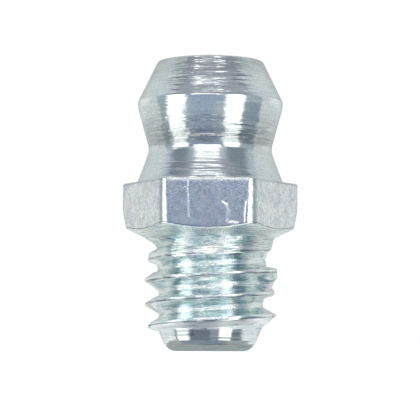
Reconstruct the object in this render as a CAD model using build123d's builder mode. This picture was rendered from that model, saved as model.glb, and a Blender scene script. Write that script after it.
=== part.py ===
from build123d import *
import os
from math import atan, cos, degrees, pi, radians, sin, sqrt, tan

# Straight hydraulic grease nipple, M6 x 1, with a 7 mm hexagon (millimetres).
# Origin: centre of the flat foot. +Z runs up the axis to the coupling face, and
# one flat of the hexagon faces -Y.

# Lengths along the axis
shank_length = 5.15          # foot to the underside of the hexagon
hex_height = 2.50            # hexagon, with its turned underside
head_height = 5.60           # top of the hexagon to the coupling face

# Coupling head
face_diameter = 4.80         # flat face that the coupler's seal meets
face_chamfer = 0.06          # at the rim of the face
head_diameter = 6.60         # widest turn, held by the coupler's jaws
land_height = 0.28           # cylindrical land of the widest turn
land_drop = 1.86             # coupling face to the top of that land
neck_drop = 4.04             # coupling face to the corner of the neck
neck_undercut = 0.51         # land to the corner of the neck, on the radius
neck_fillet = 0.80
flare_spread = 0.57          # corner of the neck to the hexagon, on the radius

# Hexagon
across_flats = 7.00
hex_corner_fillet = 0.30
corner_start = 0.35          # top of the hexagon to where its corners draw in
corner_lean = 0.22           # by how much they draw in towards the underside
underside_angle = 26         # of the turned underside, from the level

# Threaded shank
thread_diameter = 6.00
thread_allowance = 0.03      # off the nominal diameter
thread_pitch = 1.00
thread_depth = 0.60
flank_angle = 30             # of each flank, from the level
root_flat = 0.17             # width of the bottom of the groove
groove_start = 0.17          # height on +X from which the groove climbs
groove_half_turns = 9        # of groove, at its full depth
run_out_turns = 0.22         # over which the groove rises out of the shank
cutter_proud = 0.06          # of the cutter's section over the crests
collar_diameter = 5.90       # plain shank, under the hexagon
waist_diameter = 5.62        # plain shank, above the thread
waist_drop = 0.48            # underside of the hexagon to the waist
waist_taper = 0.90           # waist to the first full crest
lead_height = 1.05           # foot to the start of the thread
lead_step = 0.08             # height of the step on to the first crest
lead_diameter = 5.64         # of the blunt first crest
lead_chamfer = 0.17          # height of the chamfer on to the full crests
nose_top_diameter = 4.76     # nose, under the thread
nose_foot_diameter = 3.88    # nose at the foot, before its fillet
nose_fillet = 0.46           # of the rolled-in end

# Passage
mouth_diameter = 1.60        # inlet, closed from inside by the ball
mouth_chamfer = 0.10
seat_angle = 45              # of the ball's seat, from the axis
lip_thickness = 0.65         # rolled-in lip that holds the spring
outlet_diameter = 1.80       # hole through the lip
outlet_chamfer = 0.10

# Check ball
ball_diameter = 2.38
ball_recess = 0.12           # coupling face to the top of the ball
ball_side_gap = 0.16         # ball to bore
seat_gap = 0.03              # ball to seat

# Spring
wire_diameter = 0.30
coil_side_gap = 0.18         # coil to bore
coil_end_gap = 0.02          # coil to ball, and coil to lip
closed_pitch = 0.32          # of the closed turn at each end
closed_turns = 1
working_turns = 6
points_per_turn = 8          # of the coil's centre line
wire_sides = 6               # flats that stand for the round wire

# Heights and radii that follow
hex_top = shank_length + hex_height
face_top = hex_top + head_height
face_radius = face_diameter / 2
head_radius = head_diameter / 2
land_top = face_top - land_drop
neck_height = face_top - neck_drop
neck_radius = head_radius - neck_undercut
corner_radius = across_flats / 2 / cos(radians(30))
collar_radius = collar_diameter / 2
crest_radius = (thread_diameter - thread_allowance) / 2
root_radius = crest_radius - thread_depth
waist_height = shank_length - waist_drop
blunt_height = lead_height + lead_step
nose_foot_radius = nose_foot_diameter / 2
ball_radius = ball_diameter / 2
ball_height = face_top - ball_recess - ball_radius
bore_radius = ball_radius + ball_side_gap
mouth_radius = mouth_diameter / 2
seat_slope = tan(radians(seat_angle))
seat_offset = (ball_radius + seat_gap) / cos(radians(seat_angle)) - mouth_radius
seat_top = ball_height + seat_offset / seat_slope
seat_foot = seat_top - (bore_radius - mouth_radius) / seat_slope

# Body, all one piece. First the hexagon, with its corners and underside turned
with BuildPart() as body:
    with BuildSketch(Plane.XY.offset(shank_length)) as hexagon:
        RegularPolygon(across_flats / 2, 6, major_radius=False)
        fillet(hexagon.vertices(), hex_corner_fillet)
    extrude(amount=hex_height)
    leaned_radius = corner_radius - corner_lean
    underside_rise = (leaned_radius - collar_radius) * tan(radians(underside_angle))
    with BuildSketch(Plane.XZ):
        with BuildLine():
            side = Line((corner_radius, hex_top), (corner_radius, hex_top - corner_start))
            lean = TangentArc(
                side @ 1,
                (leaned_radius, shank_length + underside_rise),
                tangent=side % 1,
            )
            Polyline(
                lean @ 1,
                (collar_radius, shank_length),
                (0, shank_length),
                (0, hex_top),
                side @ 0,
            )
        make_face()
    revolve(axis=Axis.Z, mode=Mode.INTERSECT)

    # Coupling head, with the neck that the coupler's jaws close into
    with BuildSketch(Plane.XZ) as head_section:
        with BuildLine():
            Polyline(
                (0, hex_top),
                (neck_radius + flare_spread, hex_top),
                (neck_radius, neck_height),
                (head_radius, land_top - land_height),
                (head_radius, land_top),
                (face_radius, face_top),
                (0, face_top),
                close=True,
            )
        make_face()
        corners = head_section.vertices()
        fillet(corners.sort_by_distance((neck_radius, neck_height))[0], neck_fillet)
        chamfer(corners.sort_by_distance((face_radius, face_top))[0], face_chamfer)
    revolve(axis=Axis.Z)

    # Shank blank: nose, blunt start of the thread, crests, waist and collar
    with BuildSketch(Plane.XZ) as shank_section:
        with BuildLine():
            Polyline(
                (0, 0),
                (nose_foot_radius, 0),
                (nose_top_diameter / 2, lead_height),
                (lead_diameter / 2, blunt_height),
                (crest_radius, blunt_height + lead_chamfer),
                (crest_radius, waist_height - waist_taper),
                (waist_diameter / 2, waist_height),
                (collar_radius, shank_length),
                (0, shank_length),
                close=True,
            )
        make_face()
        foot_corner = shank_section.vertices().sort_by_distance((nose_foot_radius, 0))[0]
        fillet(foot_corner, nose_fillet)
    revolve(axis=Axis.Z)

    # Passage: outlet through the lip, bore, seat and inlet mouth
    with BuildSketch(Plane.XZ):
        with BuildLine():
            Polyline(
                (0, 0),
                (outlet_diameter / 2, 0),
                (outlet_diameter / 2, lip_thickness),
                (bore_radius, lip_thickness),
                (bore_radius, seat_foot),
                (mouth_radius, seat_top),
                (mouth_radius, face_top),
                (0, face_top),
                close=True,
            )
        make_face()
    revolve(axis=Axis.Z, mode=Mode.SUBTRACT)
    chamfer(body.faces().sort_by(Axis.Z)[-1].inner_wires()[0].edges(), mouth_chamfer)
    chamfer(body.faces().sort_by(Axis.Z)[0].inner_wires()[0].edges(), outlet_chamfer)

    # Thread: the groove is cut in half turns, and leaves the shank along a cone
    cutter_radius = crest_radius + cutter_proud
    cutter_half_width = root_flat / 2 + (cutter_radius - root_radius) * tan(radians(flank_angle))
    half_pitch = thread_pitch / 2
    with BuildSketch(Plane.XZ) as groove_section:
        with BuildLine():
            Polyline(
                (root_radius, groove_start - root_flat / 2),
                (cutter_radius, groove_start - cutter_half_width),
                (cutter_radius, groove_start + cutter_half_width),
                (root_radius, groove_start + root_flat / 2),
                close=True,
            )
        make_face()
    groove_foot = (0, 0, groove_start)
    groove_path = Helix(thread_pitch, half_pitch, root_radius, groove_foot, mode=Mode.PRIVATE)
    for half_turn in range(groove_half_turns):
        climb = Location((0, 0, half_turn * half_pitch), (0, 0, 180 * half_turn))
        sweep(
            climb * groove_section.sketch,
            climb * groove_path,
            is_frenet=True,
            mode=Mode.SUBTRACT,
        )
    run_out_rise = run_out_turns * thread_pitch
    run_out_angle = degrees(atan((cutter_radius - root_radius) / run_out_rise))
    run_out_path = Helix(
        thread_pitch / cos(radians(run_out_angle)),
        run_out_rise,
        root_radius,
        groove_foot,
        cone_angle=run_out_angle,
        mode=Mode.PRIVATE,
    )
    climb = Location((0, 0, groove_half_turns * half_pitch), (0, 0, 180 * groove_half_turns))
    sweep(
        climb * groove_section.sketch,
        climb * run_out_path,
        is_frenet=True,
        mode=Mode.SUBTRACT,
    )

# Check ball, a little under the coupling face
with BuildPart() as check_ball:
    with Locations((0, 0, ball_height)):
        Sphere(ball_radius)

# Spring: working turns between closed ends, from the lip up to the ball
coil_radius = bore_radius - coil_side_gap - wire_diameter / 2
coil_foot = lip_thickness + coil_end_gap + wire_diameter / 2
coil_reach = ball_radius + coil_end_gap + wire_diameter / 2
coil_top = ball_height - sqrt(coil_reach**2 - coil_radius**2)
working_rise = coil_top - coil_foot - 2 * closed_turns * closed_pitch
working_pitch = working_rise / working_turns
coil_turns = working_turns + 2 * closed_turns


def coil_point(turn):
    """Centre of the wire after so many turns: closed, working, then closed."""
    lower = min(turn, closed_turns)
    upper = max(turn - closed_turns - working_turns, 0)
    working = turn - lower - upper
    height = coil_foot + (lower + upper) * closed_pitch + working * working_pitch
    angle = 2 * pi * turn
    return (coil_radius * cos(angle), coil_radius * sin(angle), height)


with BuildPart() as valve_spring:
    with BuildLine() as coil:
        steps = coil_turns * points_per_turn
        Spline(*[coil_point(step / points_per_turn) for step in range(steps + 1)])
    with BuildSketch(Plane(origin=coil.line @ 0, z_dir=coil.line % 0)):
        RegularPolygon(wire_diameter / 2, wire_sides)
    sweep(is_frenet=True)

body.part.label = "body"
check_ball.part.label = "check_ball"
valve_spring.part.label = "valve_spring"

os.makedirs("parts", exist_ok=True)
export_step(body.part, "parts/body.step")
export_step(check_ball.part, "parts/check_ball.step")
export_step(valve_spring.part, "parts/valve_spring.step")
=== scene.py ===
import math

import bpy
import numpy as np
from mathutils import Euler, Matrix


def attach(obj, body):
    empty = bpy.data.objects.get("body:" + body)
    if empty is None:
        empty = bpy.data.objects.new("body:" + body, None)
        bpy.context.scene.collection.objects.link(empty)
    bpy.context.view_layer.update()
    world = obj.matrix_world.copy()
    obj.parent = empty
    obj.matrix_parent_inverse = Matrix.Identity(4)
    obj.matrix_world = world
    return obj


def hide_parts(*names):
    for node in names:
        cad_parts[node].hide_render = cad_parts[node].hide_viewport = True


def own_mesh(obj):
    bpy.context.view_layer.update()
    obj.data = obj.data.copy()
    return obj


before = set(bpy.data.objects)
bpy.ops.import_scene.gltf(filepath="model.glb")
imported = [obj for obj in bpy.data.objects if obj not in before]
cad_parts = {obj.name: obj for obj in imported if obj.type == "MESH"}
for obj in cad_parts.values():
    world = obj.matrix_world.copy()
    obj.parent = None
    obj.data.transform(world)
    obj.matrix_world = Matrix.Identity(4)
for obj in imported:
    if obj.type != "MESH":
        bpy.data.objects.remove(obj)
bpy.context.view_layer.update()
print("frame loaded:", sorted(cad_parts))

mm = 0.001
turn = 2 * math.pi


def smooth(x, low, high):
    # cubic ease from 0 at low to 1 at high
    t = np.clip((x - low) / (high - low), 0, 1)
    return t * t * (3 - 2 * t)


def wrapAngle(angle):
    # the same angle between minus half a turn and half a turn
    return (angle + math.pi) % turn - math.pi


def addObject(name, data):
    # a new object in the scene
    thing = bpy.data.objects.new(name, data)
    bpy.context.scene.collection.objects.link(thing)
    return thing


def makePiece(name, points, quads, uv=None, finish=None):
    # millimetre points that agree to a nanometre are joined, and a quad with a side of no length becomes a triangle
    # or goes; finish is the number of each quad's material
    points = points.reshape(-1, 3) * mm
    nanometres = np.round(points * 1e9).astype(np.int64)
    key, back = np.unique(nanometres, axis=0, return_inverse=True)
    back = back.reshape(-1)
    first = np.zeros(len(key), int)
    first[back[::-1]] = np.arange(len(points))[::-1]
    joined = back[quads]
    keep = joined != np.roll(joined, 1, axis=1)
    whole = keep.sum(1) >= 3
    joined, keep, corners = joined[whole], keep[whole], quads[whole]
    sizes = keep.sum(1)
    loops = joined[keep]
    mesh = bpy.data.meshes.new(name)
    mesh.vertices.add(len(key))
    mesh.vertices.foreach_set("co", points[first].astype(np.float32).ravel())
    mesh.loops.add(len(loops))
    mesh.loops.foreach_set("vertex_index", loops.astype(np.int32))
    mesh.polygons.add(len(sizes))
    mesh.polygons.foreach_set("loop_start", np.concatenate([[0], np.cumsum(sizes)[:-1]]).astype(np.int32))
    if uv is not None:
        layer = mesh.uv_layers.new(name="around")
        layer.data.foreach_set("uv", uv[corners[keep]].astype(np.float32).ravel())
    if finish is not None:
        mesh.polygons.foreach_set("material_index", finish[whole].astype(np.int32))
    mesh.update(calc_edges=True)
    mesh.validate()
    mesh.polygons.foreach_set("use_smooth", np.ones(len(mesh.polygons), bool))
    print("made", name, "with", len(mesh.polygons), "faces")
    return addObject(name, mesh)


def gridQuads(rows, columns, start=0, closed=True, shift=0):
    # quads between neighbours of a grid stored row by row; closed joins the last column to the first, shift rows on
    r, c = np.meshgrid(np.arange(rows - 1), np.arange(columns if closed else columns - 1), indexing="ij")
    nextColumn = (c + 1) % columns
    nextRow = r + np.where(c + 1 == columns, shift, 0)
    inside = nextRow < rows - 1
    corners = [
        r * columns + c, (r + 1) * columns + c,
        (nextRow + 1) * columns + nextColumn, nextRow * columns + nextColumn,
    ]
    return np.stack([corner[inside] for corner in corners], -1) + start


def onGrid(*parts):
    # coordinates spread over the grid that they span together
    return np.stack(np.broadcast_arrays(*parts), -1)


bodyShape = {  # millimetres and degrees
    "mouth": 0.80, "mouthChamfer": 0.10,
    "face": 2.42, "faceTop": 13.25, "faceRim": 0.08,
    "head": 3.322, "headTop": 11.39, "landFoot": 11.08, "landTaper": 0.018,
    "neck": 2.786, "neckHeight": 9.19, "neckRounding": 0.25, "flareMiddle": 3.04, "flareHeight": 8.45,
    "flare": 3.354, "hexTop": 7.65, "hexFoot": 5.15, "topEdge": 0.03, "topEdgeGrows": 0.09,
    "acrossFlats": 7.00, "sideCorner": 0.30, "frontCorner": 0.60, "frontCornerGrows": 0.20,
    "cornerStart": 0.35, "sideLean": 0.22, "frontLean": 0.05,
    "undersideAngle": 26, "collar": 2.95,
    "pitch": 1.0, "crest": 2.985, "root": 2.385, "rootHalf": 0.12, "flankRise": 0.31,
    "grooveStart": 0.17, "grooveTurns": 4.5, "runOutTurns": 0.22, "runOutRise": 1.1, "runOutLimit": 1.2,
    "ringTop": 0.97, "shankFoot": 1.05, "shankFootRadius": 2.38, "collarFoot": 5.0, "collarFootRadius": 2.9,
    # the uneven outline holds out to the first angle from the side; the regular thread starts at the others
    "leftEase": (15, 55), "rightEase": (4, 24, 50),
    "noseHeight": 0.90, "noseFoot": 1.94, "noseTaper": 0.44 / 1.05, "noseRounding": 0.47,
    "outlet": 0.90, "outletChamfer": 0.10, "lip": 0.65, "bore": 1.35, "seatFoot": 12.315, "seatTop": 12.865,
}
# bar under the thread, height and radius from the rolled-in end up
blankOutline = [(0.90, 2.32), (1.05, 2.38), (1.13, 2.82), (1.30, 2.985), (3.77, 2.985), (4.67, 2.81), (5.15, 2.95)]
# the thread is uneven: these are its outlines, height and radius, down the right and the left side
rightOutline = [
    (5.15, 2.97), (5.10, 2.91), (4.64, 2.80), (4.50, 2.64), (4.18, 2.52), (3.83, 2.60), (3.80, 3.05), (3.31, 3.09),
    (3.22, 2.96), (2.90, 2.83), (2.72, 2.96), (2.60, 2.94), (2.49, 2.85), (2.47, 2.57), (2.18, 2.41), (1.99, 2.44),
    (1.65, 3.06), (1.58, 3.02), (1.36, 2.71), (1.08, 2.41), (0.90, 2.317),
]
leftOutline = [
    (5.15, 2.96), (5.04, 2.73), (4.80, 2.47), (4.66, 2.41), (4.60, 2.45), (4.43, 2.77), (4.12, 2.83), (4.07, 2.79),
    (3.97, 2.46), (3.92, 2.41), (3.66, 2.37), (3.57, 2.43), (3.52, 2.62), (3.30, 2.92), (3.20, 2.98), (3.13, 2.93),
    (2.93, 2.60), (2.75, 2.39), (2.61, 2.30), (2.52, 2.31), (2.21, 2.88), (2.14, 2.95), (2.05, 2.94), (1.74, 2.39),
    (1.66, 2.31), (1.55, 2.31), (1.42, 2.43), (1.23, 2.79), (1.06, 2.81), (0.93, 2.51), (0.90, 2.317),
]


def outlineRadius(outline, height):
    # the outline's radius at a height, with its corners eased by a bell-shaped average
    step, spread, reach = 0.004, 0.014, 12
    level = np.arange(0.8, 5.3, step)
    known = np.array(outline[::-1])
    radius = np.interp(level, known[:, 0], known[:, 1])
    window = np.exp(-0.5 * (np.arange(-reach, reach + 1) * step / spread) ** 2)
    eased = np.convolve(np.pad(radius, reach, mode="edge"), window / window.sum(), mode="valid")
    return np.interp(height, level, eased)


def regularThread(angle, height, shape):
    # distance to the nearest groove's helix sets the depth; past the last full turn the groove rises out
    around = angle / turn
    nearest = around + np.round((height - shape["grooveStart"]) / shape["pitch"] - around)
    away = np.abs(height - shape["grooveStart"] - nearest * shape["pitch"])
    depth = shape["crest"] - shape["root"]
    share = np.clip((away - shape["rootHalf"]) / shape["flankRise"], 0, 1)
    rise = np.clip((nearest - shape["grooveTurns"]) / shape["runOutTurns"], 0, shape["runOutLimit"])
    groove = shape["root"] + depth * (share + shape["runOutRise"] * rise)
    return np.minimum(groove, np.interp(height, *zip(*blankOutline)))


def shankRadius(angle, height, shape):
    # regular thread at the front and back, easing into the uneven outlines at the two sides; an outline climbs
    # with the thread on its way round
    low, high = shape["noseHeight"], shape["hexFoot"]
    fromRight, fromLeft = wrapAngle(angle), wrapAngle(angle - math.pi)
    holds, frontEnd, backEnd = np.radians(shape["rightEase"])
    right = 1 - smooth(np.abs(fromRight), holds, np.where(fromRight > 0, backEnd, frontEnd))
    left = 1 - smooth(np.abs(fromLeft), *np.radians(shape["leftEase"]))
    uneven = regularThread(angle, height, shape) * (1 - right - left)
    for outline, share, away in ((rightOutline, right, fromRight), (leftOutline, left, fromLeft)):
        climbed = np.clip(height - shape["pitch"] * away / turn, low, high)
        uneven = uneven + outlineRadius(outline, climbed) * share
    # level rings where the thread meets its neighbours
    ends = smooth(height, low, shape["ringTop"]) * (1 - smooth(height, shape["collarFoot"], high))
    nose = shape["noseFoot"] + low * shape["noseTaper"]
    plain = np.interp(
        height, [low, shape["shankFoot"], shape["collarFoot"], high],
        [nose, shape["shankFootRadius"], shape["collarFootRadius"], shape["collar"]],
    )
    return plain + (uneven - plain) * ends


def sideShare(angle):
    # 1 at the two corners to the right and left, 0 at the four others
    return smooth(np.abs(np.cos(angle)), math.cos(math.radians(35)), math.cos(math.radians(25)))


def hexRadius(angle, down, shape):
    # polygon radius, half the width over the cosine from the flat's middle, with a circle at each corner; the front
    # and back corners are blunter, and more so further down
    wedge = turn / 12  # from a corner to the middle of a flat
    fromCorner = np.abs((angle + wedge) % (turn / 6) - wedge)
    half = shape["acrossFlats"] / 2
    blunt = shape["frontCorner"] + shape["frontCornerGrows"] * down
    corner = blunt + (shape["sideCorner"] - blunt) * sideShare(angle)
    centre = (half - corner) / math.cos(wedge)
    flat = half / np.cos(wedge - fromCorner)
    rounded = centre * np.cos(fromCorner) + np.sqrt(np.maximum(corner ** 2 - (centre * np.sin(fromCorner)) ** 2, 0))
    touch = np.arctan2(half, centre * math.sin(wedge))  # where the flat's line meets the corner's circle
    return np.where(fromCorner < wedge - (turn / 4 - touch), rounded, flat)


def columnAngles():
    # one sixth, close together over the hexagon's rounded corners and wider over its flat, six times
    corner, onCorner, onFlat = math.radians(6.4), 13, 37
    sixth = turn / 6
    angles = np.concatenate([
        np.linspace(0, corner, onCorner)[:-1],
        np.linspace(corner, sixth - corner, onFlat)[:-1],
        np.linspace(sixth - corner, sixth, onCorner)[:-1],
    ])
    return np.concatenate([angles + k * turn / 6 for k in range(6)])


def outlineRows(corners, columns):
    # each corner is radius, height, trim, rows over its rounding and rows to the next corner
    points = np.array([[np.broadcast_to(part, columns) for part in corner[:2]] for corner in corners], float)
    rows = []
    for k, (_, _, trim, roundRows, lineRows) in enumerate(corners):
        here = points[k]
        before, after = points[max(k - 1, 0)] - here, points[min(k + 1, len(points) - 1)] - here
        if np.any(trim):
            start = here + before / np.linalg.norm(before, axis=0) * trim
            end = here + after / np.linalg.norm(after, axis=0) * trim
            for t in np.linspace(0, 1, roundRows):
                rows.append((1 - t) ** 2 * start + 2 * t * (1 - t) * here + t * t * end)
        else:
            end = here
            rows.append(here)
        if k + 1 < len(corners):
            trimNext = corners[k + 1][2]
            line = points[k + 1] - here
            goal = points[k + 1] - line / np.linalg.norm(line, axis=0) * trimNext
            for t in np.linspace(0, 1, lineRows + 2)[1:-1]:
                rows.append(end + (goal - end) * t)
    return np.array(rows)


def makeBody(shape):
    # three bands of rows with the same columns: level down to the hexagon's foot, climbing with the thread, and level
    # over the nose, up the passage and back to the mouth
    angles = columnAngles()
    columns = len(angles)
    start, foot = shape["hexTop"] - shape["cornerStart"], shape["hexFoot"]
    slope = math.tan(math.radians(shape["undersideAngle"]))
    widest = shape["acrossFlats"] / 2 / math.cos(turn / 12)
    lean = shape["frontLean"] + (shape["sideLean"] - shape["frontLean"]) * sideShare(angles)
    edge = np.minimum(hexRadius(angles, 1, shape), widest - lean)
    edgeHeight = foot + (edge - shape["collar"]) * slope
    hexagon = hexRadius(angles, 0, shape)
    sideTop = shape["topEdge"] + shape["topEdgeGrows"] * sideShare(angles)  # rounder at the side corners
    corners = [
        (shape["mouth"], shape["faceTop"] - shape["mouthChamfer"], 0, 1, 0),
        (shape["mouth"] + shape["mouthChamfer"], shape["faceTop"], 0.02, 3, 6),
        (shape["face"], shape["faceTop"], shape["faceRim"], 4, 16),
        (shape["head"], shape["headTop"], 0.03, 4, 3),
        (shape["head"] - shape["landTaper"], shape["landFoot"], 0.10, 5, 10),
        (shape["neck"], shape["neckHeight"], shape["neckRounding"], 11, 4),
        (shape["flareMiddle"], shape["flareHeight"], 0.20, 4, 4),
        (shape["flare"], shape["hexTop"], 0.03, 3, 4),
        (hexagon, shape["hexTop"], sideTop, 4, 1),
        (hexagon, start, 0, 1, 0),
    ]
    for t in np.linspace(0, 1, 12)[1:-1]:  # the corners lean in more and more towards the foot
        height = start + (edgeHeight - start) * t
        corners.append((np.minimum(hexRadius(angles, t, shape), widest - lean * t * t), height, 0, 1, 0))
    corners.append((edge, edgeHeight, 0.05, 4, 7))
    corners.append((shape["collar"], foot, 0, 1, 0))
    upper = outlineRows(corners, columns)

    # the climbing rows start too low and end too high, and the clip makes both ends level
    perTurn = 26
    levels = np.arange(int((foot - shape["noseHeight"] + 1) * perTurn) + 3)
    base = shape["noseHeight"] - shape["pitch"] + levels * shape["pitch"] / perTurn - 0.01
    height = np.clip(base[:, None] + shape["pitch"] * angles / turn, shape["noseHeight"], foot)
    thread = np.stack([shankRadius(np.broadcast_to(angles, height.shape), height, shape), height], 1)

    nose = shape["noseFoot"] + shape["noseHeight"] * shape["noseTaper"]
    lower = outlineRows([
        (nose, shape["noseHeight"], 0, 1, 6),
        (shape["noseFoot"], 0, shape["noseRounding"], 10, 3),
        (shape["outlet"] + shape["outletChamfer"], 0, 0.02, 3, 0),
        (shape["outlet"], shape["outletChamfer"], 0, 1, 2),
        (shape["outlet"], shape["lip"], 0.03, 3, 1),
        (shape["bore"], shape["lip"], 0, 1, 5),
        (shape["bore"], shape["seatFoot"], 0, 1, 1),
        (shape["mouth"], shape["seatTop"], 0.03, 3, 1),
        (shape["mouth"], shape["faceTop"] - shape["mouthChamfer"], 0, 1, 0),
    ], columns)

    rows = np.concatenate([upper, thread, lower])
    radius, level = rows[:, 0], rows[:, 1]
    points = onGrid(radius * np.cos(angles), radius * np.sin(angles), level)
    quads = np.concatenate([
        gridQuads(len(upper), columns),
        gridQuads(len(thread), columns, len(upper) * columns, shift=perTurn)[:, ::-1],
        gridQuads(len(lower), columns, (len(upper) + len(thread)) * columns),
    ])
    # finishes by the middle of each quad: 0 turned, 1 drawn flats, 2 thread
    out, high = radius.ravel()[quads].mean(1), level.ravel()[quads].mean(1)
    edgeWidth, outsideFlare = 0.04, 3.4
    underside = foot + edgeWidth + (out - shape["collar"]) * slope
    onFlats = (high < shape["hexTop"] - edgeWidth) & (high > underside) & (out > outsideFlare)
    threadStart, threadInside, threadOutside = 1.0, 2.2, 3.3
    onThread = (high > threadStart) & (high < foot) & (out > threadInside) & (out < threadOutside)
    return makePiece("nippleBody", points, quads, finish=np.where(onFlats, 1, np.where(onThread, 2, 0)))


body = makeBody(bodyShape)
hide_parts("body")
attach(body, "root")


ballShape = {"radius": 1.19, "height": 11.94, "rings": 48, "columns": 96}  # millimetres


def makeBall(shape):
    # sphere: height and radius follow the cosine and sine of the angle from its top
    down = np.linspace(0, math.pi, shape["rings"] + 1)[:, None]
    angles = np.arange(shape["columns"]) * turn / shape["columns"]
    radius = shape["radius"] * np.sin(down)
    radius[[0, -1]] = 0
    height = shape["height"] + shape["radius"] * np.cos(down)
    points = onGrid(radius * np.cos(angles), radius * np.sin(angles), height)
    return makePiece("checkBall", points, gridQuads(shape["rings"] + 1, shape["columns"]))


ball = makeBall(ballShape)
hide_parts("check_ball")
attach(ball, "ball")

springShape = {  # millimetres
    "coil": 1.02, "wire": 0.15, "foot": 0.82, "top": 11.0404, "closedPitch": 0.32,
    "closedTurns": 1, "workingTurns": 6, "capBulge": 0.4, "perTurn": 40, "sides": 14,
}


def makeSpring(shape):
    # centre line: a helix that rises little per turn in the closed end turns and more between; a circle is carried
    # along it, and rounded caps close its ends
    turns = shape["workingTurns"] + 2 * shape["closedTurns"]
    along = np.arange(turns * shape["perTurn"] + 1) / shape["perTurn"]
    atTop = np.maximum(along - shape["closedTurns"] - shape["workingTurns"], 0)
    closed = np.minimum(along, shape["closedTurns"]) + atTop
    rise = shape["top"] - shape["foot"] - 2 * shape["closedTurns"] * shape["closedPitch"]
    height = shape["foot"] + closed * shape["closedPitch"] + (along - closed) * rise / shape["workingTurns"]
    centre = onGrid(shape["coil"] * np.cos(along * turn), shape["coil"] * np.sin(along * turn), height)
    ahead = np.gradient(centre, axis=0)
    ahead /= np.linalg.norm(ahead, axis=1)[:, None]
    outward = centre * [1, 1, 0] / shape["coil"]
    outward -= ahead * (outward * ahead).sum(1)[:, None]
    outward /= np.linalg.norm(outward, axis=1)[:, None]
    upward = np.cross(ahead, outward)
    cap = np.radians([90, 60, 30, 0])
    lean = np.concatenate([-cap, np.zeros(len(centre)), cap[::-1]])
    scale, push = np.cos(lean), np.sin(lean) * shape["wire"] * shape["capBulge"]
    scale[[0, -1]] = 0
    index = np.clip(np.arange(-len(cap), len(centre) + len(cap)), 0, len(centre) - 1)
    around = np.arange(shape["sides"]) * turn / shape["sides"]
    ring = outward[index][:, None] * np.cos(around)[:, None] + upward[index][:, None] * np.sin(around)[:, None]
    points = centre[index][:, None] + ahead[index][:, None] * push[:, None, None]
    points = points + ring * shape["wire"] * scale[:, None, None]
    quads = gridQuads(len(index), shape["sides"])[:, ::-1]
    uv = onGrid(around / turn, index[:, None] / shape["perTurn"]).reshape(-1, 2)
    return makePiece("valveSpring", points, quads, uv)


spring = makeSpring(springShape)
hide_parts("valve_spring")
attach(spring, "root")
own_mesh(spring)


def put(tree, kind, inputs=None, **settings):
    # one node with its settings; an input's value is a number, a tuple or the socket that feeds it
    node = tree.nodes.new(kind)
    for name, value in settings.items():
        setattr(node, name, value)
    for name, value in (inputs or {}).items():
        if isinstance(value, bpy.types.NodeSocket):
            tree.links.new(value, node.inputs[name])
        else:
            node.inputs[name].default_value = value
    return node


def calc(tree, operation, *values, clamp=False):
    # one Math node and its result
    return put(tree, "ShaderNodeMath", dict(enumerate(values)), operation=operation, use_clamp=clamp).outputs[0]


def times(tree, first, second):
    # the product of two values
    return calc(tree, "MULTIPLY", first, second)


def calcVector(tree, operation, first, second):
    # one Vector Math node and its result; the second value of a scaling is its factor
    inputs = {0: first, "Scale" if operation == "SCALE" else 1: second}
    made = put(tree, "ShaderNodeVectorMath", inputs, operation=operation).outputs
    return made["Value" if operation in ("DOT_PRODUCT", "DISTANCE") else "Vector"]


def splitUp(tree, position):
    # x, y and z of a position
    return put(tree, "ShaderNodeSeparateXYZ", {"Vector": position}).outputs


def axisDistance(tree, xyz):
    # square root of x squared plus y squared
    squares = [calc(tree, "POWER", xyz[k], 2.0) for k in (0, 1)]
    return calc(tree, "SQRT", calc(tree, "ADD", *squares))


def ease(tree, value, low, high, first=0.0, last=1.0):
    # first up to low, last from high on, eased between
    limits = {"Value": value, "From Min": low, "From Max": high, "To Min": first, "To Max": last}
    return put(tree, "ShaderNodeMapRange", limits, interpolation_type="SMOOTHSTEP").outputs["Result"]


def noise(tree, vector, scale=1.0, detail=2.0, roughness=0.5, fourth=None):
    # smooth noise from 0 to 1; with a fourth coordinate it changes along that too
    values = {"Vector": vector, "Scale": scale, "Detail": detail, "Roughness": roughness}
    if fourth is None:
        return put(tree, "ShaderNodeTexNoise", values).outputs["Fac"]
    return put(tree, "ShaderNodeTexNoise", {**values, "W": fourth}, noise_dimensions="4D").outputs["Fac"]


def blend(tree, factor, first, second, kind="MIX"):
    # a mix of two colours, each a tuple or a socket; 0, 6 and 7 are this node's factor and colour sockets
    colours = [(*one, 1) if isinstance(one, tuple) else one for one in (first, second)]
    inputs = {0: factor, 6: colours[0], 7: colours[1]}
    return put(tree, "ShaderNodeMix", inputs, data_type="RGBA", blend_type=kind).outputs[2]


def darken(tree, factor, colour, tint):
    # the colour times a tint, as far as the factor says
    return blend(tree, factor, colour, tint, "MULTIPLY")


def dim(tree, colour, level):
    # the colour times one number
    grey = put(tree, "ShaderNodeCombineColor", {0: level, 1: level, 2: level}).outputs[0]
    return darken(tree, 1.0, colour, grey)


def addRamp(tree, source, stops):
    # a ramp of colours; a stop is its place, from 0 to 1, and its colour
    ramp = put(tree, "ShaderNodeValToRGB", {"Fac": source})
    elements = ramp.color_ramp.elements
    for _ in stops[2:]:
        elements.new(1.0)
    for element, (spot, tint) in zip(elements, stops):
        element.position = spot
        element.color = (*tint, 1)
    return ramp.outputs["Color"]


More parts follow.
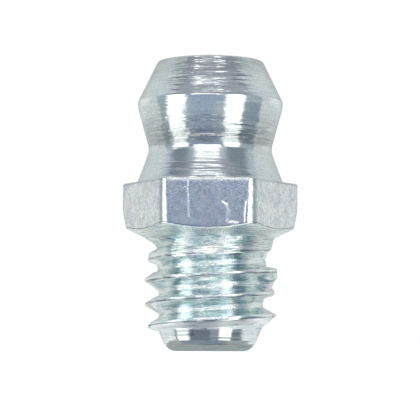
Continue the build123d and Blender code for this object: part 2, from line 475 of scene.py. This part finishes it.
def newGroup(name, places, values, outputs):
    # a node group with named sockets: places are vectors, and values are numbers and colours to start from
    tree = bpy.data.node_groups.new(name, "ShaderNodeTree")
    interface = tree.interface
    for label in places:
        interface.new_socket(label, in_out="INPUT", socket_type="NodeSocketVector")
    for label, value in values.items():
        kind = "NodeSocketColor" if isinstance(value, tuple) else "NodeSocketFloat"
        interface.new_socket(label, in_out="INPUT", socket_type=kind).default_value = value
    for label in outputs:
        kind = "NodeSocketColor" if label == "Color" else "NodeSocketFloat"
        interface.new_socket(label, in_out="OUTPUT", socket_type=kind)
    return tree, tree.nodes.new("NodeGroupInput").outputs, tree.nodes.new("NodeGroupOutput").inputs


def turnedMarksGroup():
    # tool lines of a lathe: noise that is dense along the height and the radius, and slow round the axis
    values = {"Density": 8.0, "Around": 0.8, "Ragged": 3.0}
    tree, given, made = newGroup("turnedMarks", ["Position"], values, ["Height", "Groove"])
    xyz = splitUp(tree, given["Position"])
    radius = axisDistance(tree, xyz)

    def lines(density, around):
        # the fourth coordinate is the radius, so that a cone's lines are as close as a cylinder's
        stretched = put(tree, "ShaderNodeCombineXYZ", {
            0: times(tree, xyz[0], around), 1: times(tree, xyz[1], around), 2: times(tree, xyz[2], density),
        }).outputs[0]
        return noise(tree, stretched, 1.0, 1.0, 0.6, times(tree, radius, density))

    coarse = lines(given["Density"], given["Around"])
    broad = lines(times(tree, given["Density"], 0.36), times(tree, given["Around"], 0.5))
    ragged = lines(times(tree, given["Density"], 1.4), given["Ragged"])
    crease = calc(tree, "PINGPONG", times(tree, broad, 3.0), 0.5)  # sharp wherever the noise turns over
    height = calc(tree, "MULTIPLY_ADD", crease, 1.3, times(tree, coarse, 0.7))
    tree.links.new(calc(tree, "MULTIPLY_ADD", ragged, 0.45, height), made["Height"])
    grooveDirtAndShadeNoise = calc(tree, "MULTIPLY_ADD", ragged, 0.5, coarse)
    # the Groove mask: where the tool-line grooves are darkened, by dirt and painted shade
    tree.links.new(ease(tree, grooveDirtAndShadeNoise, 0.60, 0.84, 1.0, 0.0), made["Groove"])
    return tree


def helixMarksGroup():
    # marks that run along the thread: noise on the cosine and sine of the helix phase, so that no seam shows
    values = {"Pitch": 1.0, "Density": 2.0, "Along": 0.5, "Start": 0.0}
    tree, given, made = newGroup("helixMarks", ["Position"], values, ["Height", "Crest", "Root", "Under"])
    xyz = splitUp(tree, given["Position"])
    angle = calc(tree, "ARCTAN2", xyz[1], xyz[0])
    turns = calc(tree, "DIVIDE", xyz[2], given["Pitch"])
    phase = calc(tree, "SUBTRACT", times(tree, turns, turn), angle)
    across, upward = calc(tree, "COSINE", phase), calc(tree, "SINE", phase)
    stretched = put(tree, "ShaderNodeCombineXYZ", {
        0: times(tree, across, given["Density"]), 1: times(tree, upward, given["Density"]),
        2: times(tree, calc(tree, "MULTIPLY_ADD", xyz[2], 1.7, xyz[0]), given["Along"]),
    }).outputs[0]
    offset = times(tree, xyz[1], given["Along"])
    tree.links.new(noise(tree, stretched, 1.0, 3.0, 0.6, offset), made["Height"])
    fromCrest = calc(tree, "SUBTRACT", phase, given["Start"])
    crest = calc(tree, "COSINE", fromCrest)
    tree.links.new(ease(tree, calc(tree, "SINE", fromCrest), -0.85, -0.25, 1.0, 0.0), made["Under"])
    tree.links.new(ease(tree, crest, 0.965, 0.99), made["Crest"])
    tree.links.new(ease(tree, crest, -0.85, -0.45, 1.0, 0.0), made["Root"])
    return tree


def frostGroup():
    # fine crystals of the zinc coat: noise in two sizes, and a grain from the distance to scattered points
    tree, given, made = newGroup("zincFrost", ["Position"], {"Size": 0.12}, ["Height", "Mottle"])
    scale = calc(tree, "DIVIDE", 1.0, given["Size"])
    coarse = noise(tree, given["Position"], scale, 3.0, 0.65)
    dots = {"Vector": given["Position"], "Scale": times(tree, scale, 1.6)}
    grain = put(tree, "ShaderNodeTexVoronoi", dots).outputs["Distance"]
    tree.links.new(calc(tree, "MULTIPLY_ADD", grain, 0.35, coarse), made["Height"])
    tree.links.new(ease(tree, coarse, 0.36, 0.64), made["Mottle"])
    return tree


def passivationGroup():
    # clear blue passivation: tints of teal, violet and straw drift over the base colour
    values = {"Base": (0.75, 0.80, 0.80, 1), "Teal": 0.3, "Violet": 0.2, "Straw": 0.2, "Spread": 0.9}
    tree, given, made = newGroup("bluePassivation", ["Position"], values, ["Color"])
    scale = calc(tree, "DIVIDE", 1.0, given["Spread"])
    shifts = [(0.0, 0.0, 0.0), (7.3, 1.9, 4.1), (3.7, 8.8, 11.2)]
    tints = [("Teal", (0.68, 0.90, 0.92)), ("Violet", (0.84, 0.80, 0.98)), ("Straw", (0.97, 0.98, 0.80))]
    tinted = given["Base"]
    for (name, tint), shift in zip(tints, shifts):
        moved = calcVector(tree, "ADD", given["Position"], shift)
        patch = ease(tree, noise(tree, moved, scale, 3.0, 0.6), 0.42, 0.66)
        tinted = darken(tree, times(tree, patch, given[name]), tinted, tint)
    tree.links.new(tinted, made["Color"])
    return tree


def scratchGroup():
    # a scratch between two points: how near the surface is to the line that joins them, with a wavering edge
    tree, given, made = newGroup("scratch", ["Position", "Start", "End"], {"Width": 0.05}, ["Mask"])
    waver = put(tree, "ShaderNodeTexNoise", {"Vector": given["Position"], "Scale": 2.5, "Detail": 3.0})
    centred = calcVector(tree, "SUBTRACT", waver.outputs["Color"], (0.5, 0.5, 0.5))
    shift = calcVector(tree, "SCALE", centred, 0.07)
    here = calcVector(tree, "ADD", given["Position"], shift)
    line = calcVector(tree, "SUBTRACT", given["End"], given["Start"])
    reach = calcVector(tree, "SUBTRACT", here, given["Start"])
    dots = [calcVector(tree, "DOT_PRODUCT", one, line) for one in (reach, line)]
    nearest = calcVector(tree, "SCALE", line, calc(tree, "DIVIDE", *dots, clamp=True))
    away = calcVector(tree, "DISTANCE", reach, nearest)
    tree.links.new(ease(tree, away, 0.0, given["Width"], 1.0, 0.0), made["Mask"])
    return tree


effects = {
    "turned": turnedMarksGroup(), "helix": helixMarksGroup(), "frost": frostGroup(),
    "passivation": passivationGroup(), "scratch": scratchGroup(),
}


def place(tree, effect, position, **values):
    # one of the shared effects with its own values
    return put(tree, "ShaderNodeGroup", {"Position": position, **values}, node_tree=effects[effect]).outputs


def scratchMask(tree, position, marks):
    # the strongest of several scratches; each is its start, end and width
    mask = 0.0
    for start, end, width in marks:
        one = place(tree, "scratch", position, Start=start, End=end, Width=width)["Mask"]
        mask = calc(tree, "MAXIMUM", mask, one)
    return mask


def newMaterial(name, kind="ShaderNodeBsdfPrincipled"):
    # a material that is one shader so far
    material = bpy.data.materials.new(name)
    material.use_nodes = True
    tree = material.node_tree
    tree.nodes.clear()
    shader = put(tree, kind)
    put(tree, "ShaderNodeOutputMaterial", {"Surface": shader.outputs[0]})
    return material, tree, shader


def newMetal(name):
    # a bare metal, and the place on the piece in millimetres
    material, tree, shader = newMaterial(name)
    shader.inputs["Metallic"].default_value = 1.0
    position = calcVector(tree, "SCALE", put(tree, "ShaderNodeTexCoord").outputs["Object"], 1 / mm)
    return material, tree, shader, position


def byHeight(tree, position, steps):
    # a value that changes up the piece; a step is a height in millimetres and the value there
    tallest = 15.0  # the ramp's whole length
    stops = [(level / tallest, (value, value, value)) for level, value in steps]
    ramp = addRamp(tree, calc(tree, "DIVIDE", splitUp(tree, position)[2], tallest), stops)
    return put(tree, "ShaderNodeRGBToBW", {"Color": ramp}).outputs[0]


def bump(tree, shader, height, micrometres):
    # relief; a height of 1 stands this many micrometres high
    made = put(tree, "ShaderNodeBump", {"Height": height, "Distance": micrometres * 1e-6})
    tree.links.new(made.outputs[0], shader.inputs["Normal"])


def passivated(tree, position, look, teal, straw):
    # the zinc's colour under its passivation
    values = {"Base": look["base"], "Teal": teal, "Violet": look["violet"], "Straw": straw, "Spread": look["spread"]}
    return place(tree, "passivation", position, **values)["Color"]


def finishWith(tree, shader, colour, roughness):
    # the last two links of every finish
    tree.links.new(colour, shader.inputs["Base Color"])
    tree.links.new(roughness, shader.inputs["Roughness"])


turnedLook = {
    "base": (0.865, 0.905, 0.91, 1), "groove": (0.78, 0.79, 0.80), "speckle": (0.84, 0.86, 0.88), "frost": 0.10,
    "density": 10.0, "around": 0.45, "ragged": 2.0, "lines": 21, "violet": 0.20, "spread": 0.7,
    # by height: the strength of the tool lines, the roughness, the speckles, the tint, and painted light and shade:
    # darker at the neck under the head and at the head's top, lighter under the hexagon
    "strength": [
        (0.0, 1.1), (0.30, 1.0), (0.40, 0.4), (0.9, 0.5), (5.1, 1.0), (5.5, 1.0), (5.7, 0.5), (7.9, 0.45),
        (8.8, 0.30), (9.25, 0.25), (9.45, 1.2), (9.9, 1.15), (10.4, 0.8), (11.1, 0.45), (11.4, 0.64), (13.2, 0.60),
    ],
    "roughness": [(0.0, 0.09), (5.0, 0.09), (5.1, 0.24), (5.5, 0.24), (5.6, 0.09)],
    "speckled": [(0.0, 0.35), (0.9, 0.35), (5.1, 1.0)],
    "tint": [(0.0, 0.15), (5.0, 0.15), (5.1, 0.45), (5.5, 0.45), (5.6, 0.15)],
    "shade": [
        (0.0, 1.0), (5.05, 1.0), (5.1, 1.1), (5.5, 1.1), (5.6, 1.0), (9.1, 1.0), (9.35, 0.66), (9.85, 0.74),
        (10.7, 1.0), (12.2, 1.0), (12.8, 0.84), (13.2, 0.82),
    ],
    # painted shade streaks across the left highlight of the rolled-in end: their colour, and start, end and width in
    # millimetres
    "paintedStreakColour": (0.48, 0.49, 0.52),
    "paintedStreaks": [
        ((-1.40, -1.84, 0.90), (-0.98, -2.11, 0.93), 0.13), ((-0.98, -2.11, 0.93), (-0.72, -2.21, 0.90), 0.10),
        ((-1.36, -1.80, 0.71), (-0.95, -2.04, 0.74), 0.13), ((-0.95, -2.04, 0.74), (-0.66, -2.14, 0.77), 0.10),
    ],
}


def turnedZinc(look):
    # bright zinc over turned steel: tool lines, darker in their grooves by dirt and painted shade, faint frost,
    # drifting tints, painted light and shade by height, and painted shade streaks on the rolled-in end
    material, tree, shader, position = newMetal("zincTurned")
    marks = place(tree, "turned", position, Density=look["density"], Around=look["around"], Ragged=look["ragged"])
    frost = place(tree, "frost", position, Size=look["frost"])
    patchy = ease(tree, noise(tree, position, 0.9), 0.35, 0.62, 0.55, 1.35)
    strength = times(tree, byHeight(tree, position, look["strength"]), patchy)
    bump(tree, shader, times(tree, marks["Height"], strength), look["lines"])
    tint = byHeight(tree, position, look["tint"])
    shaded = passivated(tree, position, look, tint, tint)
    # darker in the tool-line grooves: dirt and painted shade
    shaded = darken(tree, times(tree, marks["Groove"], strength), shaded, look["groove"])
    speckled = times(tree, frost["Mottle"], byHeight(tree, position, look["speckled"]))
    shaded = darken(tree, speckled, shaded, look["speckle"])
    # painted shade: dark streaks across the rolled-in end's left highlight
    broken = ease(tree, noise(tree, position, 3.0), 0.25, 0.50)
    paintedStreaks = times(tree, scratchMask(tree, position, look["paintedStreaks"]), broken)
    shaded = darken(tree, paintedStreaks, shaded, look["paintedStreakColour"])
    # painted light and shade by height
    shaded = dim(tree, shaded, byHeight(tree, position, look["shade"]))
    rough = calc(tree, "MULTIPLY_ADD", frost["Mottle"], 0.08, byHeight(tree, position, look["roughness"]))
    finishWith(tree, shader, shaded, rough)
    return material


flatsLook = {
    "base": (0.84, 0.87, 0.865, 1), "teal": 0.22, "violet": 0.35, "straw": 0.12, "spread": 0.8,
    "frost": 0.12, "blotches": 0.38, "bump": 6.5, "roughness": 0.14, "drawn": (5.0, 5.0, 1.8),
    # what darkens it: fine frost, wider blotches, upright dashes, and painted shade in lines along the lower, top and
    # side edges
    "mottle": (0.80, 0.81, 0.83), "blotch": (0.84, 0.84, 0.85), "dash": (0.80, 0.82, 0.85),
    "paintedLowerEdgeShade": (0.45, 0.48, 0.52), "paintedTopEdgeShade": (0.74, 0.75, 0.76), "paintedSideEdgeShade": (0.90, 0.90, 0.91),
    "bright": (0.97, 0.98, 0.98), "scratchHeight": 1.8,
    # scratches on the front flat: start, end and width in millimetres
    "scratches": [
        ((-0.90, -3.5, 7.50), (-0.88, -3.5, 6.60), 0.060),
        ((-0.88, -3.5, 6.70), (-0.85, -3.5, 5.90), 0.085),
        ((0.66, -3.5, 6.55), (0.80, -3.5, 6.42), 0.08),
        ((0.80, -3.5, 6.42), (0.88, -3.5, 6.10), 0.13),
        ((0.88, -3.5, 6.10), (0.86, -3.5, 5.66), 0.16),
        ((0.86, -3.5, 5.66), (1.30, -3.5, 5.60), 0.14),
        ((1.66, -3.5, 6.60), (1.58, -3.5, 5.70), 0.055),
    ],
}


def flatsZinc(look):
    # hexagon as drawn: frosty mottled zinc, a few bright scratches on the front flat
    material, tree, shader, position = newMetal("zincFlats")
    frost = place(tree, "frost", position, Size=look["frost"])
    stretched = calcVector(tree, "MULTIPLY", position, look["drawn"])
    height = calc(tree, "MULTIPLY_ADD", noise(tree, stretched, 1.0, 3.0, 0.6), 0.4, frost["Height"])
    broken = ease(tree, noise(tree, position, 4.0), 0.22, 0.42)
    scratches = times(tree, scratchMask(tree, position, look["scratches"]), broken)
    bump(tree, shader, calc(tree, "MULTIPLY_ADD", scratches, look["scratchHeight"], height), look["bump"])
    mottled = passivated(tree, position, look, look["teal"], look["straw"])
    mottled = darken(tree, frost["Mottle"], mottled, look["mottle"])
    mottled = darken(tree, place(tree, "frost", position, Size=look["blotches"])["Mottle"], mottled, look["blotch"])
    mottled = darken(tree, ease(tree, noise(tree, stretched, 2.2, 1.0), 0.58, 0.68), mottled, look["dash"])
    # painted shade: a dark line runs where the height over the cone of the underside is next to nothing, along the
    # hexagon's lower edge
    xyz = splitUp(tree, position)
    slope = math.tan(math.radians(bodyShape["undersideAngle"]))
    cone = times(tree, calc(tree, "SUBTRACT", axisDistance(tree, xyz), bodyShape["collar"]), slope)
    overCone = calc(tree, "SUBTRACT", calc(tree, "SUBTRACT", xyz[2], bodyShape["hexFoot"]), cone)
    mottled = darken(tree, ease(tree, overCone, 0.06, 0.11, 1.0, 0.0), mottled, look["paintedLowerEdgeShade"])
    # painted shade: the four slanting flats have a grey line along their top edge, and a faint one down the outer
    # corner
    slanting = ease(tree, calc(tree, "ABSOLUTE", xyz[1]), 3.40, 3.47, 1.0, 0.0)
    underTop = calc(tree, "SUBTRACT", bodyShape["hexTop"], xyz[2])
    atTop = times(tree, slanting, ease(tree, underTop, 0.07, 0.13, 1.0, 0.0))
    mottled = darken(tree, atTop, mottled, look["paintedTopEdgeShade"])
    mottled = darken(tree, ease(tree, calc(tree, "ABSOLUTE", xyz[0]), 3.87, 3.93), mottled, look["paintedSideEdgeShade"])
    rough = calc(tree, "MULTIPLY_ADD", frost["Mottle"], 0.10, look["roughness"])
    finishWith(tree, shader, blend(tree, scratches, mottled, look["bright"]), rough)
    return material


threadLook = {
    "base": (0.90, 0.925, 0.92, 1), "violet": 0.15, "straw": 0.20, "spread": 0.6,
    "density": 1.5, "along": 0.95, "bump": 42, "frost": 0.12,
    # what darkens it: frost, residue and painted shade in the hollows, painted shade under each crest, and a line of
    # dirt and painted shade at a share of the pitch
    "mottle": (0.86, 0.88, 0.89), "hollowResidueAndShade": (0.60, 0.67, 0.72), "paintedCrestShadeColour": (0.70, 0.82, 0.84),
    "line": (0.42, 0.44, 0.47), "crestDirtAndShadeLine": 0.62,
    # by height: the roughness, the strength of the marks, the teal tint, painted light and shade (lighter over the
    # lowest turn, darker at the collar), and the painted shade under the crests
    "roughness": [(0.95, 0.2), (1.05, 0.55), (1.3, 0.50), (1.42, 0.05), (4.3, 0.05), (4.7, 0.10), (5.2, 0.14)],
    "strength": [(0.9, 1.0), (4.3, 1.0), (4.8, 1.1), (5.15, 0.9)],
    "teal": [(0.9, 0.35), (4.3, 0.35), (4.7, 0.85), (5.15, 0.7)],
    "shade": [(0.9, 1.15), (1.3, 1.26), (1.5, 1.24), (1.7, 1.02), (4.4, 1.02), (4.7, 0.87), (5.15, 0.87)],
    "paintedCrestShade": [(1.5, 0.0), (1.8, 1.0), (4.4, 1.0), (5.15, 1.0)],
}


def threadZinc(look):
    # rolled thread: waving marks along the helix, painted teal shade in the grooves under the crests, polished on the
    # crests
    material, tree, shader, position = newMetal("zincThread")
    start = look["crestDirtAndShadeLine"] * turn
    marks = place(tree, "helix", position, Density=look["density"], Along=look["along"], Start=start)
    frost = place(tree, "frost", position, Size=look["frost"])
    inRoot = calc(tree, "MULTIPLY_ADD", marks["Root"], 0.6, 1.0)
    rippled = times(tree, byHeight(tree, position, look["strength"]), inRoot)
    waves = times(tree, marks["Height"], rippled)
    bump(tree, shader, calc(tree, "MULTIPLY_ADD", frost["Height"], 0.12, waves), look["bump"])
    shaded = passivated(tree, position, look, byHeight(tree, position, look["teal"]), look["straw"])
    shaded = darken(tree, times(tree, frost["Mottle"], 0.5), shaded, look["mottle"])
    # painted light and shade by height
    shaded = dim(tree, shaded, byHeight(tree, position, look["shade"]))
    # darker in the hollows of the marks: residue and painted shade
    shaded = darken(tree, ease(tree, marks["Height"], 0.40, 0.46, 1.0, 0.0), shaded, look["hollowResidueAndShade"])
    # painted teal shade under each crest
    paintedCrestShade = times(tree, marks["Under"], ease(tree, noise(tree, position, 1.4, 3.0, 0.6), 0.42, 0.60))
    paintedCrestShade = times(tree, paintedCrestShade, byHeight(tree, position, look["paintedCrestShade"]))
    shaded = darken(tree, paintedCrestShade, shaded, look["paintedCrestShadeColour"])
    # a dark line along each crest's lower edge: burr dirt and painted shade
    line = times(tree, marks["Crest"], ease(tree, noise(tree, position, 1.6), 0.30, 0.55))
    rough = calc(tree, "MULTIPLY_ADD", frost["Mottle"], 0.06, byHeight(tree, position, look["roughness"]))
    finishWith(tree, shader, darken(tree, line, shaded, look["line"]), rough)
    return material


for finish in (turnedZinc(turnedLook), flatsZinc(flatsLook), threadZinc(threadLook)):
    body.data.materials.append(finish)


ballLook = {
    "clean": (0.66, 0.66, 0.66), "oily": (0.76, 0.75, 0.72), "roughness": 0.04, "bump": 0.25,
    "lapped": [(9.0, 0.8, 1.5), (1.2, 10.0, 0.9), (0.7, 1.4, 11.0)],  # stretch of the lines along x, y and z
}


def ballSteel(look):
    # lapped ball: hair-fine crossing scratches and a faint oil film
    material, tree, shader, position = newMetal("polishedBall")
    film = noise(tree, position, 1.3, 3.0, 0.6)
    crossing = 0.0
    for stretch in look["lapped"]:
        line = ease(tree, noise(tree, calcVector(tree, "MULTIPLY", position, stretch), 2.0, 2.0, 0.6), 0.56, 0.62)
        crossing = calc(tree, "ADD", crossing, line)
    bump(tree, shader, crossing, look["bump"])
    oiled = blend(tree, film, look["clean"], look["oily"])
    finishWith(tree, shader, oiled, calc(tree, "MULTIPLY_ADD", film, 0.12, look["roughness"]))
    return material


wireLook = {
    "blue": (0.46, 0.47, 0.50), "brown": (0.50, 0.46, 0.41), "oil": (0.55, 0.55, 0.56), "roughness": 0.14,
    "drawn": (22.0, 1.5, 1.0), "bump": 5,
}


def springSteel(look):
    # drawn wire: die lines along the wire, a blue-brown temper tint and oil in the hollows
    material, tree, shader, position = newMetal("springWire")
    wire = put(tree, "ShaderNodeUVMap").outputs["UV"]
    drawn = noise(tree, calcVector(tree, "MULTIPLY", wire, look["drawn"]), 1.0, 3.0, 0.7)
    bump(tree, shader, drawn, look["bump"])
    temper = ease(tree, noise(tree, position, 0.8, 3.0, 0.6), 0.40, 0.62)
    oiled = darken(tree, times(tree, drawn, 0.5), blend(tree, temper, look["blue"], look["brown"]), look["oil"])
    finishWith(tree, shader, oiled, calc(tree, "MULTIPLY_ADD", drawn, 0.25, look["roughness"]))
    return material


ball.data.materials.append(ballSteel(ballLook))
spring.data.materials.append(springSteel(wireLook))
print("finishes:", [m.name for m in bpy.data.materials])


# cloths that only mirrors see: a tent round the nipple, a fan on the floor in front and a disc under the foot
studio = {
    # millimetres, and the angle under the floor line where the tent starts
    "tent": 500, "tentCentre": 7, "tentDip": -1.2, "fanStart": 2.2, "fanReach": 480, "fanLift": 0.002,
    "footRim": 2.67, "footLift": 0.003,
    "floor": 1.0,  # metres
    # how strongly the floor and the world glow
    "paper": 0.4, "world": 0.75,
    # lights
    "sun": (2.3, 2.3, 2.2), "lamp": (1.6, 1.62, 1.54), "glow": (1.05, 1.10, 1.12), "bright": (1.0, 1.02, 1.0),
    # pale cloths
    "side": (0.875, 0.90, 0.895), "heel": (0.82, 0.86, 0.88), "crown": (0.77, 0.77, 0.87),
    "pale": (0.70, 0.735, 0.725), "shady": (0.60, 0.63, 0.61), "back": (0.53, 0.56, 0.56),
    "toe": (0.50, 0.535, 0.535), "mist": (0.50, 0.56, 0.62),
    # darker cloths
    "between": (0.45, 0.49, 0.55), "dusk": (0.42, 0.49, 0.54), "leftDark": (0.42, 0.49, 0.51),
    "lilac": (0.40, 0.41, 0.46), "far": (0.39, 0.45, 0.56), "foot": (0.38, 0.41, 0.41),
    "lavender": (0.325, 0.39, 0.555), "ash": (0.30, 0.34, 0.385), "rightDark": (0.30, 0.36, 0.41),
    "near": (0.25, 0.29, 0.34), "slate": (0.235, 0.275, 0.315), "haze": (0.20, 0.30, 0.36),
    "nearDark": (0.17, 0.20, 0.25),
}


def stageMesh(name, points, quads, uv=None):
    # a sheet of the studio, with a UV map where its colours need one
    mesh = bpy.data.meshes.new(name)
    mesh.from_pydata(points.tolist(), [], quads.tolist())
    if uv is not None:
        layer = mesh.uv_layers.new(name="around")
        layer.data.foreach_set("uv", uv[quads.ravel()].astype(np.float32).ravel())
    sheet = addObject(name, mesh)
    return sheet


def makeCloth(name, points, uv, colours):
    # a sheet that only mirrors see, and that emits the colours of a function of its two UV coordinates
    quads = gridQuads(*uv.shape[:2], closed=False)
    cloth = stageMesh(name, points.reshape(-1, 3) * mm, quads, uv.reshape(-1, 2))
    cloth.visible_camera = cloth.visible_diffuse = cloth.visible_shadow = cloth.visible_volume_scatter = False
    material, tree, light = newMaterial(name, "ShaderNodeEmission")
    along = splitUp(tree, put(tree, "ShaderNodeUVMap").outputs["UV"])
    tree.links.new(colours(tree, along["X"], along["Y"]), light.inputs["Color"])
    cloth.data.materials.append(material)


def makeTent(shape):
    # part of a sphere round the nipple: azimuth from the front, positive to the right, and elevation
    around = np.radians(np.linspace(-180, 180, 145))
    up = np.radians(np.linspace(shape["tentDip"], 90, 62))[:, None]
    flat = shape["tent"] * np.cos(up)
    points = onGrid(flat * np.sin(around), -flat * np.cos(around), shape["tentCentre"] + shape["tent"] * np.sin(up))
    makeCloth("lightTent", points, onGrid(around / turn + 0.5, up / (turn / 4)), tentColours)


def makeFan(shape):
    # floor in front: the rays that leave a round mirror, from its edge at one angle out along twice the angle
    half = np.radians(np.linspace(-88, 88, 133))
    nearest = 0.5
    reach = np.geomspace(nearest, shape["fanReach"] + nearest, 40)[:, None] - nearest
    points = onGrid(
        shape["fanStart"] * np.sin(half) + reach * np.sin(2 * half),
        -shape["fanStart"] * np.cos(half) - reach * np.cos(2 * half), shape["fanLift"],
    )
    # the second coordinate is a logarithm of the reach, so that the bands near the foot are fine
    uv = onGrid(2 * half / turn + 0.5, np.log(reach + nearest) / 8 + 0.1)
    makeCloth("floorFan", points, uv, fanColours)


def makeFootShade(shape):
    # flat disc of painted shadow under the rolled-in end, seen only in mirrors: azimuth round it, and its radius as a
    # share of the rim's
    around = np.radians(np.linspace(-180, 180, 97))
    out = np.linspace(0, 1, 9)[:, None]
    rim = shape["footRim"] * out
    points = onGrid(rim * np.sin(around), -rim * np.cos(around), shape["footLift"])
    makeCloth("footShade", points, onGrid(around / turn + 0.5, out), footColours)


def bands(tree, around, soft, *parts):
    # flat bands of colour round the nipple: a part is the azimuth from the front where it starts, its colour and,
    # where its edge is softer than the others, half that edge's width
    stops = [(0, studio[parts[0][1]])]
    for (_, before, *_), (edge, after, *own) in zip(parts, parts[1:]):
        half = own[0] if own else soft
        stops += [((edge - half) / 360 + 0.5, studio[before]), ((edge + half) / 360 + 0.5, studio[after])]
    return addRamp(tree, around, stops)


def stackUp(tree, along, colour, *layers):
    # colours along a coordinate: a layer is where the edge to it starts and ends, and its colour
    for low, high, after in layers:
        colour = blend(tree, ease(tree, along, low, high), colour, after)
    return colour


def tentColours(tree, around, up):
    # upright walls mirror the lowest layer, the flare the middle ones, the cone of the head the high one, and edges
    # that look up the crown

    def layer(soft, side, *front):
        # every layer has the same back, with wide edges to its sides
        return bands(tree, around, soft, (-180, "back"), (-150, side, 16), *front, (150, "back", 16))

    low = layer(
        1.5, "side", (-110, "pale"), (-91, "leftDark"), (-67, "sun"), (-40, "lavender"), (27, "sun"),
        (57, "leftDark"), (91, "pale"), (110, "side"),
    )
    rising = layer(
        1.5, "pale", (-91, "leftDark"), (-74, "lamp"), (-40, "slate"), (-29, "lamp"), (22, "slate"), (29, "lamp"),
        (57, "dusk"), (91, "pale"),
    )
    middle = layer(
        1.5, "pale", (-92, "mist", 5), (-79, "slate", 5), (-43, "mist", 7), (-29, "lamp", 5), (21, "mist", 6),
        (35, "slate", 6), (78, "mist", 6), (95, "pale", 5),
    )
    high = layer(4, "pale", (-73, "lilac"), (80, "pale"))
    crown = layer(
        2, "pale", (-84, "leftDark"), (-64, "sun"), (-40, "crown"), (27, "sun"), (57, "leftDark"), (84, "pale"),
    )
    # the edges between the layers are at elevations in degrees, and the coordinate is 1 at the zenith
    return stackUp(
        tree, up, low, (10 / 90, 13 / 90, rising), (22 / 90, 26 / 90, middle), (42 / 90, 49 / 90, high),
        (64 / 90, 66 / 90, crown), (76 / 90, 84 / 90, studio["pale"]),
    )


def fanColours(tree, around, out):
    # from the foot outwards: the rolled-in end mirrors the near bands, the thread and the underside of the hexagon
    # the next ones, the cone under the head the far ones, and walls that lean down a little the horizon
    near = bands(
        tree, around, 1.5, (-180, "bright"), (-92, "near"), (-85, "lamp"), (-51, "nearDark", 5), (4, "ash"),
        (26, "lamp"), (57, "nearDark"), (81, "near", 4), (92, "bright", 5),
    )
    between = bands(
        tree, around, 1.5, (-180, "heel"), (-92, "leftDark"), (-80, "lamp"), (-44, "between"), (26, "lamp"),
        (56, "rightDark"), (82, "heel"),
    )
    under = bands(tree, around, 4, (-180, "shady"), (-98, "haze"), (-66, "glow"), (48, "haze"), (97, "shady"))
    far = bands(
        tree, around, 1.5, (-180, "pale"), (-91, "leftDark"), (-74, "lamp"), (-44, "mist", 7), (-29, "far", 5),
        (9, "mist", 5), (28, "lamp", 4), (57, "rightDark"), (91, "pale"),
    )
    horizon = bands(
        tree, around, 1.5, (-180, "pale"), (-91, "leftDark"), (-67, "sun"), (-40, "far"), (27, "sun"),
        (57, "leftDark"), (91, "pale"),
    )
    return stackUp(
        tree, out, near, (0.15, 0.18, between), (0.27, 0.31, under), (0.418, 0.428, near), (0.42, 0.50, far),
        (0.58, 0.64, horizon),
    )


def footColours(tree, around, out):
    # painted shadow of the floor right under the rolled-in end: grey, darker at the front's rim
    rim = bands(tree, around, 4, (-180, "toe"), (-84, "foot"), (-45, "near"), (25, "foot"), (70, "toe"))
    return stackUp(tree, out, studio["foot"], (0.80, 0.90, rim))


def seenOrMirrored(tree):
    # 1 for what the camera or a mirror sees, 0 for what lights the scene
    rays = put(tree, "ShaderNodeLightPath").outputs
    return calc(tree, "MAXIMUM", rays["Is Camera Ray"], rays["Is Glossy Ray"])


makeTent(studio)
makeFan(studio)
makeFootShade(studio)

corners = np.array([[-1, -1, 0], [1, -1, 0], [1, 1, 0], [-1, 1, 0]])
floor = stageMesh("floor", corners * studio["floor"], np.array([[0, 1, 2, 3]]))
paper, paperTree, paperShader = newMaterial("palePaper")
paperShader.inputs["Roughness"].default_value = 1
paperShader.inputs["Base Color"].default_value = (0.9, 0.9, 0.9, 1)
glow = times(paperTree, seenOrMirrored(paperTree), studio["paper"])
paperTree.links.new(glow, paperShader.inputs["Emission Strength"])
floor.data.materials.append(paper)

lampPlace = {"height": 400, "side": 160, "size": 300, "power": 0.9}  # millimetres and watts
lampData = bpy.data.lights.new("softLamp", "AREA")
lampData.shape = "DISK"
lampData.size = lampPlace["size"] * mm
lampData.energy = lampPlace["power"]
lamp = addObject("softLamp", lampData)
lamp.location = (-lampPlace["side"] * mm, -lampPlace["side"] * mm, lampPlace["height"] * mm)
lamp.rotation_euler = (-lamp.location).to_track_quat("-Z", "Y").to_euler()
lamp.visible_glossy = False  # the cloths are what the metal mirrors

world = bpy.data.worlds.new("softStudio")
scene = bpy.context.scene
scene.world = world
world.use_nodes = True
worldTree = world.node_tree
# white where it is seen, a little weaker as a light
strength = calc(worldTree, "MULTIPLY_ADD", seenOrMirrored(worldTree), 1.0 - studio["world"], studio["world"])
background = worldTree.nodes["Background"]
background.inputs["Color"].default_value = (1, 1, 1, 1)
worldTree.links.new(strength, background.inputs["Strength"])

scene.view_settings.view_transform = "Standard"
print("studio ready")

cameraPlace = {  # millimetres and degrees
    "distance": 88.0, "height": 0.3, "turned": 1.6, "roll": 0.2, "aim": 6.45, "lens": 165.2, "nearest": 1.0,
}
cameraData = bpy.data.cameras.new("camera")
camera = addObject("camera", cameraData)
away = cameraPlace["distance"]
side = math.radians(cameraPlace["turned"])
tilt = math.atan2(cameraPlace["aim"] - cameraPlace["height"], away)
camera.location = (math.sin(side) * away * mm, -math.cos(side) * away * mm, cameraPlace["height"] * mm)
upright = Euler((math.pi / 2 + tilt, 0, side)).to_quaternion()
rolled = Euler((0, 0, math.radians(cameraPlace["roll"]))).to_quaternion()
camera.rotation_euler = (upright @ rolled).to_euler()
cameraData.lens = cameraPlace["lens"]
cameraData.clip_start = cameraPlace["nearest"] * mm
scene.camera = camera
